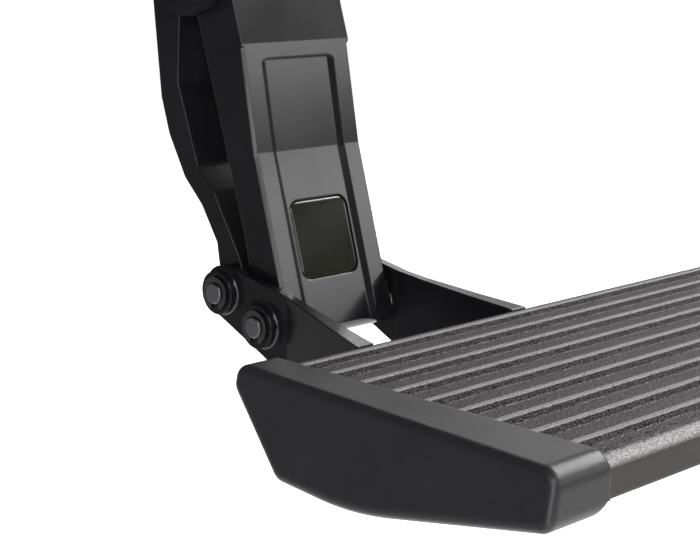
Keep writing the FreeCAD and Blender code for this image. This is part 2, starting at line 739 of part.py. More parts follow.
# Open ring clip that snaps into the groove of a pin
clip = new_body("pin_clip")
clip_ring = ring(ring(sketch_on(clip, "clip_ring", "YZ_Plane"), "0", "0", "pin_radius + 2.6"), "0", "0",
                 "pin_radius - 0.7")
pad(clip, clip_ring, "1.1")
clip_gap = outline(sketch_on(clip, "clip_gap", "YZ_Plane"), [
    ("-2.4", "-1"), ("2.4", "-1"), ("2.4", "-20"), ("-2.4", "-20")])
pocket(clip, clip_gap)


# Flanged bush; the inner radius is given because the driven pair is fixed on the shaft
def make_bush(name, inner):
    return turned(name, [
        ("-arm_width / 2 - bush_flange", inner),
        ("-arm_width / 2 - bush_flange", "bush_radius + 2.2"),
        ("-arm_width / 2", "bush_radius + 2.2"),
        ("-arm_width / 2", "bush_radius"),
        ("-arm_width / 2 + 18", "bush_radius"),
        ("-arm_width / 2 + 18", inner),
    ])


free_bush = make_bush("free_bush", "pin_radius + pin_clearance")
fixed_bush = make_bush("fixed_bush", "pin_radius")

PIVOTS = {
    "outer": (("lower_outer_y", "lower_outer_z"), ("upper_outer_y", "upper_outer_z")),
    "inner": (("lower_inner_y", "lower_inner_z"), ("upper_inner_y", "upper_inner_z")),
}
for side, x in SIDES.items():
    for arm, (low, high) in PIVOTS.items():
        top_bush = fixed_bush if (side, arm) == ("far", "inner") else free_bush
        shapes = []
        for bush, (y, z) in ((free_bush, low), (top_bush, high)):
            shapes.append(copy_at(bush.Shape, x, y, z))
            shapes.append(copy_at(flip(bush.Shape), x, y, z))
        group("%s_%s_bushes" % (side, arm), shapes)
    low_spots = [PIVOTS[arm][0] for arm in PIVOTS]
    group(side + "_lower_pins", [copy_at(pin.Shape, x, y, z) for y, z in low_spots])
UPPER_PIVOTS = (PIVOTS["outer"][1], PIVOTS["inner"][1])
group("near_upper_pins", [copy_at(pin.Shape, "-link_x", y, z) for y, z in UPPER_PIVOTS])
group("far_upper_pin", [copy_at(pin.Shape, "link_x", "upper_outer_y", "upper_outer_z")])


def clip_pair(x, y, z):
    reach = "(%s) + (%s) * ((%s) - 1.7)"
    return [copy_at(clip.Shape, reach % (x, turn, PIN_END), y, z) for turn in ("-1", "1")]


lower_clips = []
for x in SIDES.values():
    for arm in PIVOTS:
        lower_clips += clip_pair(x, *PIVOTS[arm][0])
group("lower_pin_clips", lower_clips)
upper_clips = clip_pair("-link_x", *PIVOTS["outer"][1])
upper_clips += clip_pair("-link_x", *PIVOTS["inner"][1])
upper_clips += clip_pair("link_x", *PIVOTS["outer"][1])
group("upper_pin_clips", upper_clips)

# Slot bolts hang in the slots of the board; nuts clamp the feet of the stirrups
bolt = new_body("slot_bolt_model")
bolt_head = outline(sketch_on(bolt, "slot_bolt_head", "XY_Plane"), [
    ("-8", "-slot_width / 2 - 3.2"), ("8", "-slot_width / 2 - 3.2"),
    ("8", "slot_width / 2 + 3.2"), ("-8", "slot_width / 2 + 3.2")])
pad(bolt, bolt_head, "5", both=False)
bolt_shank = ring(sketch_on(bolt, "slot_bolt_shank", "XY_Plane"), "0", "0", "4")
pad(bolt, bolt_shank, "foot_thickness + 13", both=False, back=True)
nut = new_body("slot_nut_model")
nut_washer = ring(sketch_on(nut, "slot_nut_washer", "XY_Plane"), "0", "0", "8.6")
pad(nut, nut_washer, "1.6", both=False, back=True)
NUT_REACH = 7.5
corners = [(str(round(NUT_REACH * math.cos(math.pi * k / 3), 4)),
            str(round(NUT_REACH * math.sin(math.pi * k / 3), 4)))
           for k in range(6)]
nut_hex = outline(sketch_on(nut, "slot_nut_hex", "XY_Plane"), corners)
pad(nut, nut_hex, "8", both=False, back=True)
nut_bore = ring(sketch_on(nut, "slot_nut_bore", "XY_Plane"), "0", "0", "4")
pocket(nut, nut_bore)
bolts = []
nuts = []
for x in SIDES.values():
    for shift in ("-26", "26"):
        for y in ("board_y - slot_first", "board_y - slot_first - slot_pitch"):
            bolts.append(copy_at(bolt.Shape, "%s + (%s)" % (x, shift), y, "board_z - board_depth + 3.2"))
            under = "board_z - board_depth - foot_thickness"
            nuts.append(copy_at(nut.Shape, "%s + (%s)" % (x, shift), y, under))
group("slot_bolts", bolts)
group("slot_nuts", nuts)


# Mount bracket: a bolted flange with two cheeks that carry the upper pivots
def make_bracket(side):
    body = keep(new_body(side + "_mount_bracket"))
    plate = outline(sketch_on(body, side + "_flange", "XY_Plane"), [
        ("-flange_length / 2", "-flange_width / 2"), ("flange_length / 2", "-flange_width / 2"),
        ("flange_length / 2", "flange_width / 2"), ("-flange_length / 2", "flange_width / 2")])
    pad(body, plate, "flange_thickness", both=False, back=True)
    turns = [("%s * flange_length / 2" % a, "%s * flange_width / 2" % b)
             for a in ("-1", "1") for b in ("-1", "1")]
    soften(body, side + "_flange_corners", 2, turns, "10")
    cheeks = outline(sketch_on(body, side + "_cheeks", "YZ_Plane"), [
        ("-flange_width / 2 + 5", "-flange_thickness + 1"),
        ("upper_outer_y - 15", "upper_outer_z + 6"),
        ("upper_outer_y - 11", "upper_outer_z - 9"),
        ("upper_outer_y + 4", "upper_outer_z - 14"),
        ("upper_inner_y + 8", "upper_inner_z - 13"),
        ("upper_inner_y + 15", "upper_inner_z - 3"),
        ("flange_width / 2 - 5", "-flange_thickness + 1"),
    ])
    pad(body, cheeks, "2 * outside_x")
    bosses = sketch_on(body, side + "_bosses", "YZ_Plane")
    ring(bosses, "upper_outer_y", "upper_outer_z", "12")
    pad(body, bosses, "2 * outside_x + 1")
    bosses = sketch_on(body, side + "_bosses_inner", "YZ_Plane")
    ring(bosses, "upper_inner_y", "upper_inner_z", "12")
    pad(body, bosses, "2 * outside_x + 1")
    if side == "far":
        ear = outline(sketch_on(body, "motor_ear", "YZ_Plane", "inside_x"), [
            ("upper_inner_y + 6", "-flange_thickness + 1"),
            ("flange_width / 2 - 4", "-flange_thickness + 1"),
            ("pinion_y + 34", "20 - upper_drop"),
            ("pinion_y + 34", "-upper_drop - 22"),
            ("pinion_y - 4", "-upper_drop - 27"),
            ("upper_inner_y + 6", "-upper_drop - 12"),
        ])
        pad(body, ear, "plate_thickness", both=False)
        posts = sketch_on(body, "motor_posts", "YZ_Plane", "inside_x + 1")
        for y, z in POSTS:
            ring(posts, y, z, "5")
        pad(body, posts, "motor_x - inside_x - 1", both=False)
    opening = outline(sketch_on(body, side + "_opening", "YZ_Plane"), [
        ("-flange_width", "-flange_thickness"), ("flange_width + 60", "-flange_thickness"),
        ("flange_width + 60", "-upper_drop - 80"), ("-flange_width", "-upper_drop - 80")])
    pocket(body, opening, "2 * inside_x")
    bores = sketch_on(body, side + "_outer_bore", "YZ_Plane")
    ring(bores, "upper_outer_y", "upper_outer_z", "pin_radius")
    inner_bore = "pin_radius + pin_clearance" if side == "far" else "pin_radius"
    ring(bores, "upper_inner_y", "upper_inner_z", inner_bore)
    pocket(body, bores)
    if side == "far":
        shaft_hole = ring(sketch_on(body, "pinion_hole", "YZ_Plane", "inside_x - 1"), "pinion_y", "-upper_drop",
                          "5 + pin_clearance")
        pocket(body, shaft_hole, "plate_thickness + 2", both=False, back=True)
        tapped = sketch_on(body, "post_holes", "YZ_Plane", "motor_x")
        for y, z in POSTS:
            ring(tapped, y, z, "2.5")
        pocket(body, tapped, "12", both=False)
    holes = sketch_on(body, side + "_flange_holes", "XY_Plane")
    for a in ("-1", "1"):
        for b in ("-1", "1"):
            ring(holes, "%s * bolt_spacing_x / 2" % a, "%s * bolt_spacing_y / 2" % b, "bolt_hole")
    pocket(body, holes)
    return place(body, SIDES[side], 0, 0)


POSTS = [("pinion_y + 27", "16 - upper_drop"), ("pinion_y + 27", "-upper_drop - 16"),
         ("pinion_y - 2", "-upper_drop - 22")]
for side in SIDES:
    make_bracket(side)

# Drive shaft turns with the far inner arm and carries the driven gear outside the cheek
shaft_end = "gear_x + gear_width + 2.9"
shaft = keep(turned("drive_shaft", [
    ("-(%s)" % PIN_END, "0"),
    ("-(%s)" % PIN_END, "pin_radius - 0.6"),
    ("0.6 - (%s)" % PIN_END, "pin_radius"),
    ("1.1 - (%s)" % PIN_END, "pin_radius"),
    ("1.1 - (%s)" % PIN_END, "pin_radius - 0.7"),
    ("2.3 - (%s)" % PIN_END, "pin_radius - 0.7"),
    ("2.3 - (%s)" % PIN_END, "pin_radius"),
    ("(%s) - 2.3" % shaft_end, "pin_radius"),
    ("(%s) - 2.3" % shaft_end, "pin_radius - 0.7"),
    ("(%s) - 1.1" % shaft_end, "pin_radius - 0.7"),
    ("(%s) - 1.1" % shaft_end, "pin_radius"),
    ("(%s) - 0.6" % shaft_end, "pin_radius"),
    (shaft_end, "pin_radius - 0.6"),
    (shaft_end, "0"),
]))
place(shaft, "link_x", "upper_inner_y", "upper_inner_z")
group("drive_shaft_clips", [
    copy_at(clip.Shape, "link_x - (%s) + 1.7" % PIN_END, "upper_inner_y", "upper_inner_z"),
    copy_at(clip.Shape, "link_x + (%s) - 1.7" % shaft_end, "upper_inner_y", "upper_inner_z"),
])


def gear_shape(teeth, module, width, phase):
    """An involute gear about X; the first tooth is centred at the phase angle from Y towards Z."""
    pressure = math.radians(20)
    pitch = module * teeth / 2
    base = pitch * math.cos(pressure)
    root = pitch - 1.25 * module
    tip = pitch + 0.8 * module
    backlash = 0.2

    def half_angle(radius):
        slope = math.acos(min(1.0, base / radius))
        spread = math.tan(pressure) - pressure - (math.tan(slope) - slope)
        return (math.pi * module / 2 - backlash) / (2 * pitch) + spread

    def spot(radius, angle):
        return FreeCAD.Vector(0, radius * math.cos(angle), radius * math.sin(angle))

    start = max(base, root + 0.05)
    flank = [start + (tip - start) * k / 4 for k in range(5)]
    edges = []
    for tooth in range(teeth):
        mid = phase + 2 * math.pi * tooth / teeth
        rise = [spot(r, mid - half_angle(r)) for r in flank]
        fall = [spot(r, mid + half_angle(r)) for r in reversed(flank)]
        foot = spot(root, mid - half_angle(start))
        heel = spot(root, mid + half_angle(start))
        after = mid + 2 * math.pi / teeth
        up = Part.BSplineCurve()
        up.interpolate(rise)
        down = Part.BSplineCurve()
        down.interpolate(fall)
        edges.append(Part.makeLine(foot, rise[0]))
        edges.append(up.toShape())
        edges.append(Part.Arc(rise[-1], spot(tip, mid), fall[0]).toShape())
        edges.append(down.toShape())
        edges.append(Part.makeLine(fall[-1], heel))
        valley = spot(root, mid + math.pi / teeth)
        edges.append(Part.Arc(heel, valley, spot(root, after - half_angle(start))).toShape())
    face = Part.Face(Part.Wire(Part.__sortEdges__(edges)))
    return face.extrude(FreeCAD.Vector(width, 0, 0))


def along_x(radius, start, end):
    """A round bar about X between two places."""
    return Part.makeCylinder(number(radius), number(end) - number(start), FreeCAD.Vector(number(start), 0, 0),
                             FreeCAD.Vector(1, 0, 0))


wheel = gear_shape(int(number("gear_teeth")), number("gear_module"), number("gear_width"), 0.0)
wheel = wheel.fuse(along_x("pin_radius + 5", "-2", "0.1")).cut(along_x("pin_radius", "-5", "gear_width + 5"))
driven = keep(doc.addObject("Part::Feature", "driven_gear"))
driven.Label = "driven_gear"
driven.Shape = wheel
place(driven, "link_x + gear_x", "upper_inner_y", "upper_inner_z")
pinion_count = int(number("pinion_teeth"))
spur = gear_shape(pinion_count, number("gear_module"), number("gear_width"), math.pi + math.pi / pinion_count)
spur = spur.fuse(along_x("5", "inside_x - gear_x", "motor_x - gear_x + 8"))
pinion = keep(doc.addObject("Part::Feature", "drive_pinion"))
pinion.Label = "drive_pinion"
pinion.Shape = spur
place(pinion, "link_x + gear_x", "pinion_y", "upper_inner_z")

# Gearmotor: gearbox on three posts, motor can along Y
gearbox = keep(new_body("gearbox"))
drum = ring(sketch_on(gearbox, "gearbox_drum", "YZ_Plane"), "0", "0", "25")
pad(gearbox, drum, "24", both=False)
block = outline(sketch_on(gearbox, "gearbox_block", "YZ_Plane"), [
    ("0", "-22"), ("34", "-22"), ("34", "22"), ("0", "22")])
pad(gearbox, block, "24", both=False)
seat = ring(sketch_on(gearbox, "gearbox_bore", "YZ_Plane"), "0", "0", "5 + pin_clearance")
pocket(gearbox, seat, "9", both=False, back=True)
through = sketch_on(gearbox, "gearbox_holes", "YZ_Plane")
for y, z in POSTS:
    ring(through, "%s - pinion_y" % y, "%s + upper_drop" % z, "2.7")
pocket(gearbox, through)
soften(gearbox, "gearbox_corners", 0, [("34", "-22"), ("34", "22")], "6")
place(gearbox, "link_x + motor_x", "pinion_y", "-upper_drop")
lid = keep(new_body("gearbox_lid"))
lid_disc = ring(sketch_on(lid, "lid_disc", "YZ_Plane"), "0", "0", "17")
pad(lid, lid_disc, "2.4", both=False)
place(lid, "link_x + motor_x + 24", "pinion_y", "-upper_drop")
cap_screw = new_body("socket_screw_model")
pad(cap_screw, ring(sketch_on(cap_screw, "socket_head", "YZ_Plane"), "0", "0", "4.2"), "5", both=False)
socket_shank = ring(sketch_on(cap_screw, "socket_shank", "YZ_Plane"), "0", "0", "2.5")
pad(cap_screw, socket_shank, "34", both=False, back=True)
key = [(str(round(2.3 * math.cos(math.pi * k / 3), 4)), str(round(2.3 * math.sin(math.pi * k / 3), 4)))
       for k in range(6)]
pocket(cap_screw, outline(sketch_on(cap_screw, "socket_key", "YZ_Plane", "5"), key), "2.6", both=False)
group("gearbox_screws", [copy_at(cap_screw.Shape, "link_x + motor_x + 24", y, z) for y, z in POSTS])


def can_piece(name, radius, length, start):
    """A round piece on the motor's axis, which runs along Y."""
    body = keep(new_body(name))
    disc = ring(sketch_on(body, name + "_disc", "XZ_Plane"), "0", "0", radius)
    pad(body, disc, length, both=False, back=True)
    place(body, "link_x + motor_x + 12", "pinion_y + 34 + " + start, "-upper_drop - 4")
    return body


can_piece("motor_can", "can_radius", "can_length", "0")
can_piece("motor_end_bell", "can_radius - 2.5", "8", "can_length")
can_piece("lead_gland", "6", "11", "can_length + 8")
doc.recompute()

for thing in doc.Objects:
    if "Invalid" in thing.State or "Error" in thing.State:
        raise RuntimeError("failed: " + thing.Name)
os.makedirs("parts", exist_ok=True)
for thing in parts:
    shape = thing.Shape
    if shape.isNull() or not shape.isValid():
        raise RuntimeError("bad shape: " + thing.Label)
    shape.exportStep(os.path.join("parts", thing.Label + ".step"))
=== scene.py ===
import bpy
import bmesh
import json
import math
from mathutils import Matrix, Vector


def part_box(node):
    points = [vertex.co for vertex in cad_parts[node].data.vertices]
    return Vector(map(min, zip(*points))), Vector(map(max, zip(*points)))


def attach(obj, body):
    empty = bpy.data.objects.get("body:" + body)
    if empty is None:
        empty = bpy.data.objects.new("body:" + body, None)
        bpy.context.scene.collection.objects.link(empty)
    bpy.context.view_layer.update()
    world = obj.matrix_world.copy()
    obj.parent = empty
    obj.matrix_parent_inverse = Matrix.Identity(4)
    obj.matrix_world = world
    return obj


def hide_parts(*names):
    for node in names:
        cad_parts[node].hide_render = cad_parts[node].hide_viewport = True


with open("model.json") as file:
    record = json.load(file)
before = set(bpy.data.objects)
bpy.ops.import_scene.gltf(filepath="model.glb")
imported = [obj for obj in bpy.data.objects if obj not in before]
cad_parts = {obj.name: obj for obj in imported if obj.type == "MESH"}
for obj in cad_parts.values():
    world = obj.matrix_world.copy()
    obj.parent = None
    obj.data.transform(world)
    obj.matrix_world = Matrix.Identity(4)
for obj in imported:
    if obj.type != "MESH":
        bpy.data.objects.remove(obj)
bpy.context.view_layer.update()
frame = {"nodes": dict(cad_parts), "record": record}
nodes = frame["nodes"]
body_names = {node: body for body, names in frame["record"]["behaviour"]["bodies"].items() for node in names}

# Lengths are in metres, headings and rises in degrees, noise scales in cells to the metre.
BLACK = (0.0, 0.0, 0.0)
WHITE = (1.0, 1.0, 1.0)

# The part of a noise's range that is stretched over a finish's span of roughness
CLOUD_SPAN = (0.3, 0.7)
EASED_EDGE_SAMPLES = 6

# Tread: depths are below the rib tops, insets are from the front of the nose
SAND_SCALE = 1500.0
GROOVE_GRAINS = (0.44, 0.60)
RIB_GRAINS = (0.34, 0.60)
# The EDGE_ values place the painted highlight on the nose's top edge and break it up with the sand
EDGE_GRAINS = (0.40, 0.62)
EDGE_COVER = (0.25, 0.8)
RIB_TOP_DEPTHS = (0.00035, 0.0001)
# Painted shade on the rib flanks: it sets in between these two depths, down to the given share of the groove
# colour and sheen
FLANK_DEPTHS = (0.0019, 0.0016)
PAINTED_FLANK_SHADE = 0.30
NOSE_INSETS = (0.0018, 0.0042)
EDGE_INSETS = (0.0055, 0.0035)
EDGE_DEPTHS = (0.0060, 0.0042)

# Share of a face's direction that points along the board, from no side face to a full one, over which painted
# shade lowers the sheen
SIDE_FACING = (0.70, 0.92)
CASTING_SHADED_SIDE_SHINE = 0.05
CAP_SHINE = 0.30
CAP_SHADED_SIDE_SHINE = 0.10

# Badge: where its rim starts, as a share of half its size, and the sheen inside and on the rim, lowered
# inside as painted shade and raised on the rim as a painted highlight
RIM_SPAN = (0.90, 0.94)
RIM_PAINTED_SHINE = (0.03, 0.6)

ARM_ROUNDING = 0.0020
ARM_ROUNDING_STEPS = 3
LENS_ROUNDING = 0.0011
LENS_ROUNDING_STEPS = 4
MERGE_DISTANCE = 0.00001
FLAT_ANGLE = math.radians(1.0)
SHARP_ANGLE = math.radians(50.0)

FLOOR_HEIGHT = -0.62
FLOOR_HALF_SIZE = 18.0
FLOOR_GLOW = 0.95
# Each fade of the floor: heading, where it starts and ends, and the least brightness
LEFT_FADE = (146.5, 0.60, 1.30, 0.70)
RIGHT_FADE = (-56.8, 0.30, 1.00, 0.70)
SKY_STRENGTH = 0.10

ARM_SPOT = (-0.476, -0.03, -0.135)
TREAD_SPOT = (-0.30, -0.20, -0.20)
NOSE_SPOT = (-0.50, -0.26, -0.20)
# Each lamp: name, the spot it is aimed at, heading, rise, distance, width and height, brightness
LAMPS = (
    ("panel_light", ARM_SPOT, -46.5, 13.55, 8.0, (8.0, 1.105), 4.2),
    ("key_light", ARM_SPOT, -120.0, 36.0, 2.0, (2.2, 0.55), 6.0),
    ("stirrup_light", ARM_SPOT, 39.0, 28.5, 3.0, (0.9, 0.5), 2.4),
    ("tread_light", TREAD_SPOT, 27.0, 11.0, 5.0, (2.5, 1.1), 1.5),
    ("top_light", NOSE_SPOT, -10.0, 37.0, 3.0, (2.4, 0.85), 15.0),
    ("edge_light", NOSE_SPOT, -137.0, 8.0, 1.9, (0.26, 1.4), 18.0),
    ("end_light", NOSE_SPOT, 129.0, 11.0, 3.0, (2.0, 0.9), 0.4),
)

CAMERA_PLACE = (-0.9908, -0.58336, -0.04545)
CAMERA_HEADING = math.radians(44.86)
CAMERA_DIP = math.radians(11.42)
SENSOR_WIDTH = 36.0
FOCAL_PIXELS = 1700.0
IMAGE_WIDTH = 700.0
CLIP_NEAR = 0.02
CLIP_FAR = 100.0


# Finishes

def new_finish(name):
    """A material with its shader and the object coordinates that all its patterns read."""
    finish = bpy.data.materials.new(name)
    finish.use_nodes = True
    tree = finish.node_tree
    shader = tree.nodes["Principled BSDF"]
    coords = tree.nodes.new("ShaderNodeTexCoord")
    return finish, tree, shader, coords.outputs["Object"]


def noise(tree, where, scale, detail=2.0, rough=0.5):
    node = tree.nodes.new("ShaderNodeTexNoise")
    node.inputs["Scale"].default_value = scale
    node.inputs["Detail"].default_value = detail
    node.inputs["Roughness"].default_value = rough
    tree.links.new(where, node.inputs["Vector"])
    return node.outputs["Fac"]


def spread(tree, value, low, high, to_low, to_high):
    """Map a value from one span to another."""
    node = tree.nodes.new("ShaderNodeMapRange")
    ends = (("From Min", low), ("From Max", high), ("To Min", to_low), ("To Max", to_high))
    for socket, number in ends:
        node.inputs[socket].default_value = number
    tree.links.new(value, node.inputs["Value"])
    return node.outputs["Result"]


def blend_colours(tree, factor, one, two):
    """Mix two colours, each given as a colour or as a socket."""
    node = tree.nodes.new("ShaderNodeMix")
    node.data_type = "RGBA"
    tree.links.new(factor, node.inputs["Factor"])
    for socket, colour in (("A", one), ("B", two)):
        target = [item for item in node.inputs if item.name == socket and item.type == "RGBA"][0]
        if isinstance(colour, tuple):
            target.default_value = colour + (1.0,)
        else:
            tree.links.new(colour, target)
    return [item for item in node.outputs if item.type == "RGBA"][0]


def axis_of(tree, where, letter):
    node = tree.nodes.new("ShaderNodeSeparateXYZ")
    tree.links.new(where, node.inputs["Vector"])
    return node.outputs[letter]


def reckon(tree, operation, *values):
    """One sum on the values of some sockets."""
    node = tree.nodes.new("ShaderNodeMath")
    node.operation = operation
    for number, value in enumerate(values):
        tree.links.new(value, node.inputs[number])
    return node.outputs["Value"]


def grain(tree, shader, height, strength, distance, radius):
    """Fine relief, with every sharp edge eased by a small radius."""
    eased = tree.nodes.new("ShaderNodeBevel")
    eased.samples = EASED_EDGE_SAMPLES
    eased.inputs["Radius"].default_value = radius
    node = tree.nodes.new("ShaderNodeBump")
    node.inputs["Strength"].default_value = strength
    node.inputs["Distance"].default_value = distance
    tree.links.new(height, node.inputs["Height"])
    tree.links.new(eased.outputs["Normal"], node.inputs["Normal"])
    tree.links.new(node.outputs["Normal"], shader.inputs["Normal"])


def cloudy(tree, shader, cloud, dark, light, smooth, dull):
    """Colour and roughness that drift with one cloudy noise."""
    tree.links.new(blend_colours(tree, cloud, dark, light), shader.inputs["Base Color"])
    tree.links.new(spread(tree, cloud, *CLOUD_SPAN, smooth, dull), shader.inputs["Roughness"])


def painted_side_shade(tree, shader, shine, shaded_side_shine):
    """Painted shade: the sheen is lowered on the faces that look along the board, standing in for the dark
    surroundings these faces would mirror.
    """
    facing = tree.nodes.new("ShaderNodeNewGeometry")
    along = reckon(tree, "ABSOLUTE", axis_of(tree, facing.outputs["Normal"], "X"))
    # Painted shade: lower sheen where the face looks along the board
    sheen = spread(tree, along, *SIDE_FACING, shine, shaded_side_shine)
    tree.links.new(sheen, shader.inputs["Specular IOR Level"])


def coated_casting(name, smooth, dull, shine):
    """Black powder coat: faint orange peel and cloudy sheen, with painted shade lowering the sheen on faces
    that look along the board.
    """
    finish, tree, shader, where = new_finish(name)
    cloud = noise(tree, where, 38.0, 4.0, 0.6)
    cloudy(tree, shader, cloud, (0.0040, 0.0039, 0.0046), (0.0090, 0.0088, 0.0102), smooth, dull)
    painted_side_shade(tree, shader, shine, CASTING_SHADED_SIDE_SHINE)
    grain(tree, shader, noise(tree, where, 1400.0), strength=0.06, distance=0.0002, radius=0.0009)
    return finish


def tread_coat():
    """Sand-textured charcoal coat, lighter on the rib tops, with painted shade on the rib flanks and a
    painted highlight along the top edge of the smooth nose.
    """
    finish, tree, shader, where = new_finish("tread_coat")
    low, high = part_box("tread_board")
    across = axis_of(tree, where, "Y")
    up = axis_of(tree, where, "Z")
    sand = noise(tree, where, SAND_SCALE, 2.0, 0.7)
    cloud = noise(tree, where, 60.0, 3.0, 0.6)

    def by_depth(depths, start, end):
        return spread(tree, up, high.z - depths[0], high.z - depths[1], start, end)

    def by_inset(insets, start, end):
        return spread(tree, across, low.y + insets[0], low.y + insets[1], start, end)

    grains = spread(tree, sand, *GROOVE_GRAINS, 0.0, 1.0)
    rib_top = by_depth(RIB_TOP_DEPTHS, 0.0, 1.0)
    # Painted shade: the rib flanks are darker in colour and sheen than the groove floor, to even out the
    # light they catch
    painted_flank_shade = by_depth(FLANK_DEPTHS, 1.0, PAINTED_FLANK_SHADE)
    nose = by_inset(NOSE_INSETS, 1.0, 0.0)
    # Painted highlight: a light, grainy band along the rounded top edge of the nose, standing in for the
    # light that edge reflects
    edge = reckon(tree, "MULTIPLY", by_inset(EDGE_INSETS, 0.0, 1.0), by_depth(EDGE_DEPTHS, 0.0, 1.0))
    painted_edge_highlight = reckon(tree, "MULTIPLY", edge, spread(tree, sand, *EDGE_GRAINS, *EDGE_COVER))
    rib_grains = spread(tree, sand, *RIB_GRAINS, 0.0, 1.0)

    groove_tint = blend_colours(tree, grains, (0.008, 0.0068, 0.0076), (0.100, 0.084, 0.092))
    rib_tint = blend_colours(tree, rib_grains, (0.06, 0.057, 0.06), (0.34, 0.33, 0.335))
    nose_tint = blend_colours(tree, cloud, (0.017, 0.0150, 0.0140), (0.029, 0.0260, 0.0245))
    tint = blend_colours(tree, painted_flank_shade, BLACK, groove_tint)
    tint = blend_colours(tree, rib_top, tint, rib_tint)
    tint = blend_colours(tree, nose, tint, nose_tint)
    tint = blend_colours(tree, painted_edge_highlight, tint, (0.46, 0.45, 0.45))
    tree.links.new(tint, shader.inputs["Base Color"])
    tree.links.new(spread(tree, rib_top, 0.0, 1.0, 0.62, 0.40), shader.inputs["Roughness"])
    # Sheen follows the sand grains and is lowered on the flanks by the painted shade
    sheen = reckon(tree, "MULTIPLY", painted_flank_shade, spread(tree, grains, 0.0, 1.0, 0.10, 0.80))
    sheen = blend_colours(tree, nose, sheen, (0.34, 0.34, 0.34))
    tree.links.new(sheen, shader.inputs["Specular IOR Level"])
    grain(tree, shader, sand, strength=0.42, distance=0.0005, radius=0.0004)
    return finish


def cap_moulding():
    """Black moulded plastic with a fine leather grain, with painted shade lowering the sheen on faces that
    look along the board.
    """
    finish, tree, shader, where = new_finish("cap_moulding")
    cloud = noise(tree, where, 30.0, 4.0, 0.6)
    cloudy(tree, shader, cloud, (0.0125, 0.0117, 0.0132), (0.0195, 0.0184, 0.0202), 0.31, 0.39)
    painted_side_shade(tree, shader, CAP_SHINE, CAP_SHADED_SIDE_SHINE)
    grain(tree, shader, noise(tree, where, 950.0, 3.0, 0.6), strength=0.26, distance=0.0004, radius=0.0012)
    return finish


def badge_gloss():
    """Blank dark lens with an olive cast; its sheen is lowered inside as painted shade and raised along the
    rim as a painted highlight.
    """
    finish, tree, shader, where = new_finish("badge_gloss")
    low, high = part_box("far_badge_plate")
    cloud = noise(tree, where, 80.0)
    cloudy(tree, shader, cloud, (0.010, 0.011, 0.008), (0.020, 0.021, 0.016), 0.16, 0.24)
    # The two badges are mirror images, so the distance from mid span serves both
    side = reckon(tree, "ABSOLUTE", axis_of(tree, where, "X"))
    across = reckon(tree, "ABSOLUTE", spread(tree, side, low.x, high.x, -1.0, 1.0))
    height = axis_of(tree, where, "Z")
    along = reckon(tree, "ABSOLUTE", spread(tree, height, low.z, high.z, -1.0, 1.0))
    rim = reckon(tree, "MAXIMUM", across, along)
    # Painted highlight on the rim and painted shade inside it, set through the sheen
    tree.links.new(spread(tree, rim, *RIM_SPAN, *RIM_PAINTED_SHINE), shader.inputs["Specular IOR Level"])
    return finish


def bare_metal(name, dark, light, smooth, dull, marks=700.0):
    """Bare or plated metal with a cloudy sheen and fine marks."""
    finish, tree, shader, where = new_finish(name)
    cloudy(tree, shader, noise(tree, where, 90.0, 4.0, 0.6), dark, light, smooth, dull)
    shader.inputs["Metallic"].default_value = 1.0
    grain(tree, shader, noise(tree, where, marks), strength=0.12, distance=0.0003, radius=0.0004)
    return finish


def plain_moulding(name, dark, light, smooth, dull):
    """Bearing plastic, paint or rubber with a faint mottle."""
    finish, tree, shader, where = new_finish(name)
    cloudy(tree, shader, noise(tree, where, 70.0, 3.0, 0.6), dark, light, smooth, dull)
    grain(tree, shader, noise(tree, where, 1100.0), strength=0.15, distance=0.0003, radius=0.0005)
    return finish


finishes = {
    "coated_casting": coated_casting("coated_casting", 0.16, 0.20, 0.5),
    "tread": tread_coat(),
    "cap_plastic": cap_moulding(),
    "badge": badge_gloss(),
    "pin_steel": bare_metal("pin_steel", (0.045, 0.045, 0.048), (0.10, 0.10, 0.105), 0.30, 0.44),
    "clip_steel": bare_metal("clip_steel", (0.02, 0.02, 0.021), (0.05, 0.05, 0.051), 0.32, 0.45),
    "bush": plain_moulding("bush", (0.42, 0.41, 0.38), (0.52, 0.51, 0.48), 0.40, 0.52),
    "fastener": bare_metal("fastener", (0.50, 0.50, 0.47), (0.68, 0.67, 0.62), 0.24, 0.40),
    "gear_steel": bare_metal("gear_steel", (0.24, 0.24, 0.25), (0.38, 0.38, 0.39), 0.24, 0.38),
    "gearbox_cast": bare_metal("gearbox_cast", (0.26, 0.26, 0.27), (0.40, 0.40, 0.41), 0.42, 0.58, 420.0),
    "motor_paint": plain_moulding("motor_paint", (0.008, 0.008, 0.009), (0.016, 0.016, 0.018), 0.26, 0.36),
    "gland_rubber": plain_moulding("gland_rubber", (0.012, 0.012, 0.012), (0.022, 0.021, 0.021), 0.62, 0.75),
}
for part in frame["record"]["subparts"]:
    mesh = nodes[part["node"]].data
    mesh.materials.clear()
    mesh.materials.append(finishes[part["material_slot"]])
# Painted shade: a rougher, lower-sheen copy of the powder coat for the mount brackets, standing in for the
# dark surroundings they would mirror
shaded_bracket_coat = coated_casting("shaded_bracket_coat", 0.50, 0.60, 0.15)
for node in ("near_mount_bracket", "far_mount_bracket"):
    nodes[node].data.materials[0] = shaded_bracket_coat


# Cast pieces with rounded edges, and the blank badge lens

def merged_copy(node):
    """A clean mesh of a node: doubles merged and flat faces joined up."""
    shape = bmesh.new()
    shape.from_mesh(nodes[node].data)
    bmesh.ops.remove_doubles(shape, verts=shape.verts, dist=MERGE_DISTANCE)
    bmesh.ops.dissolve_limit(shape, angle_limit=FLAT_ANGLE, verts=shape.verts, edges=shape.edges)
    return shape


def round_off(shape, edges, radius, steps):
    bmesh.ops.bevel(shape, geom=edges, offset=radius, offset_type="OFFSET", affect="EDGES", segments=steps,
                    profile=0.5, material=-1, clamp_overlap=True)


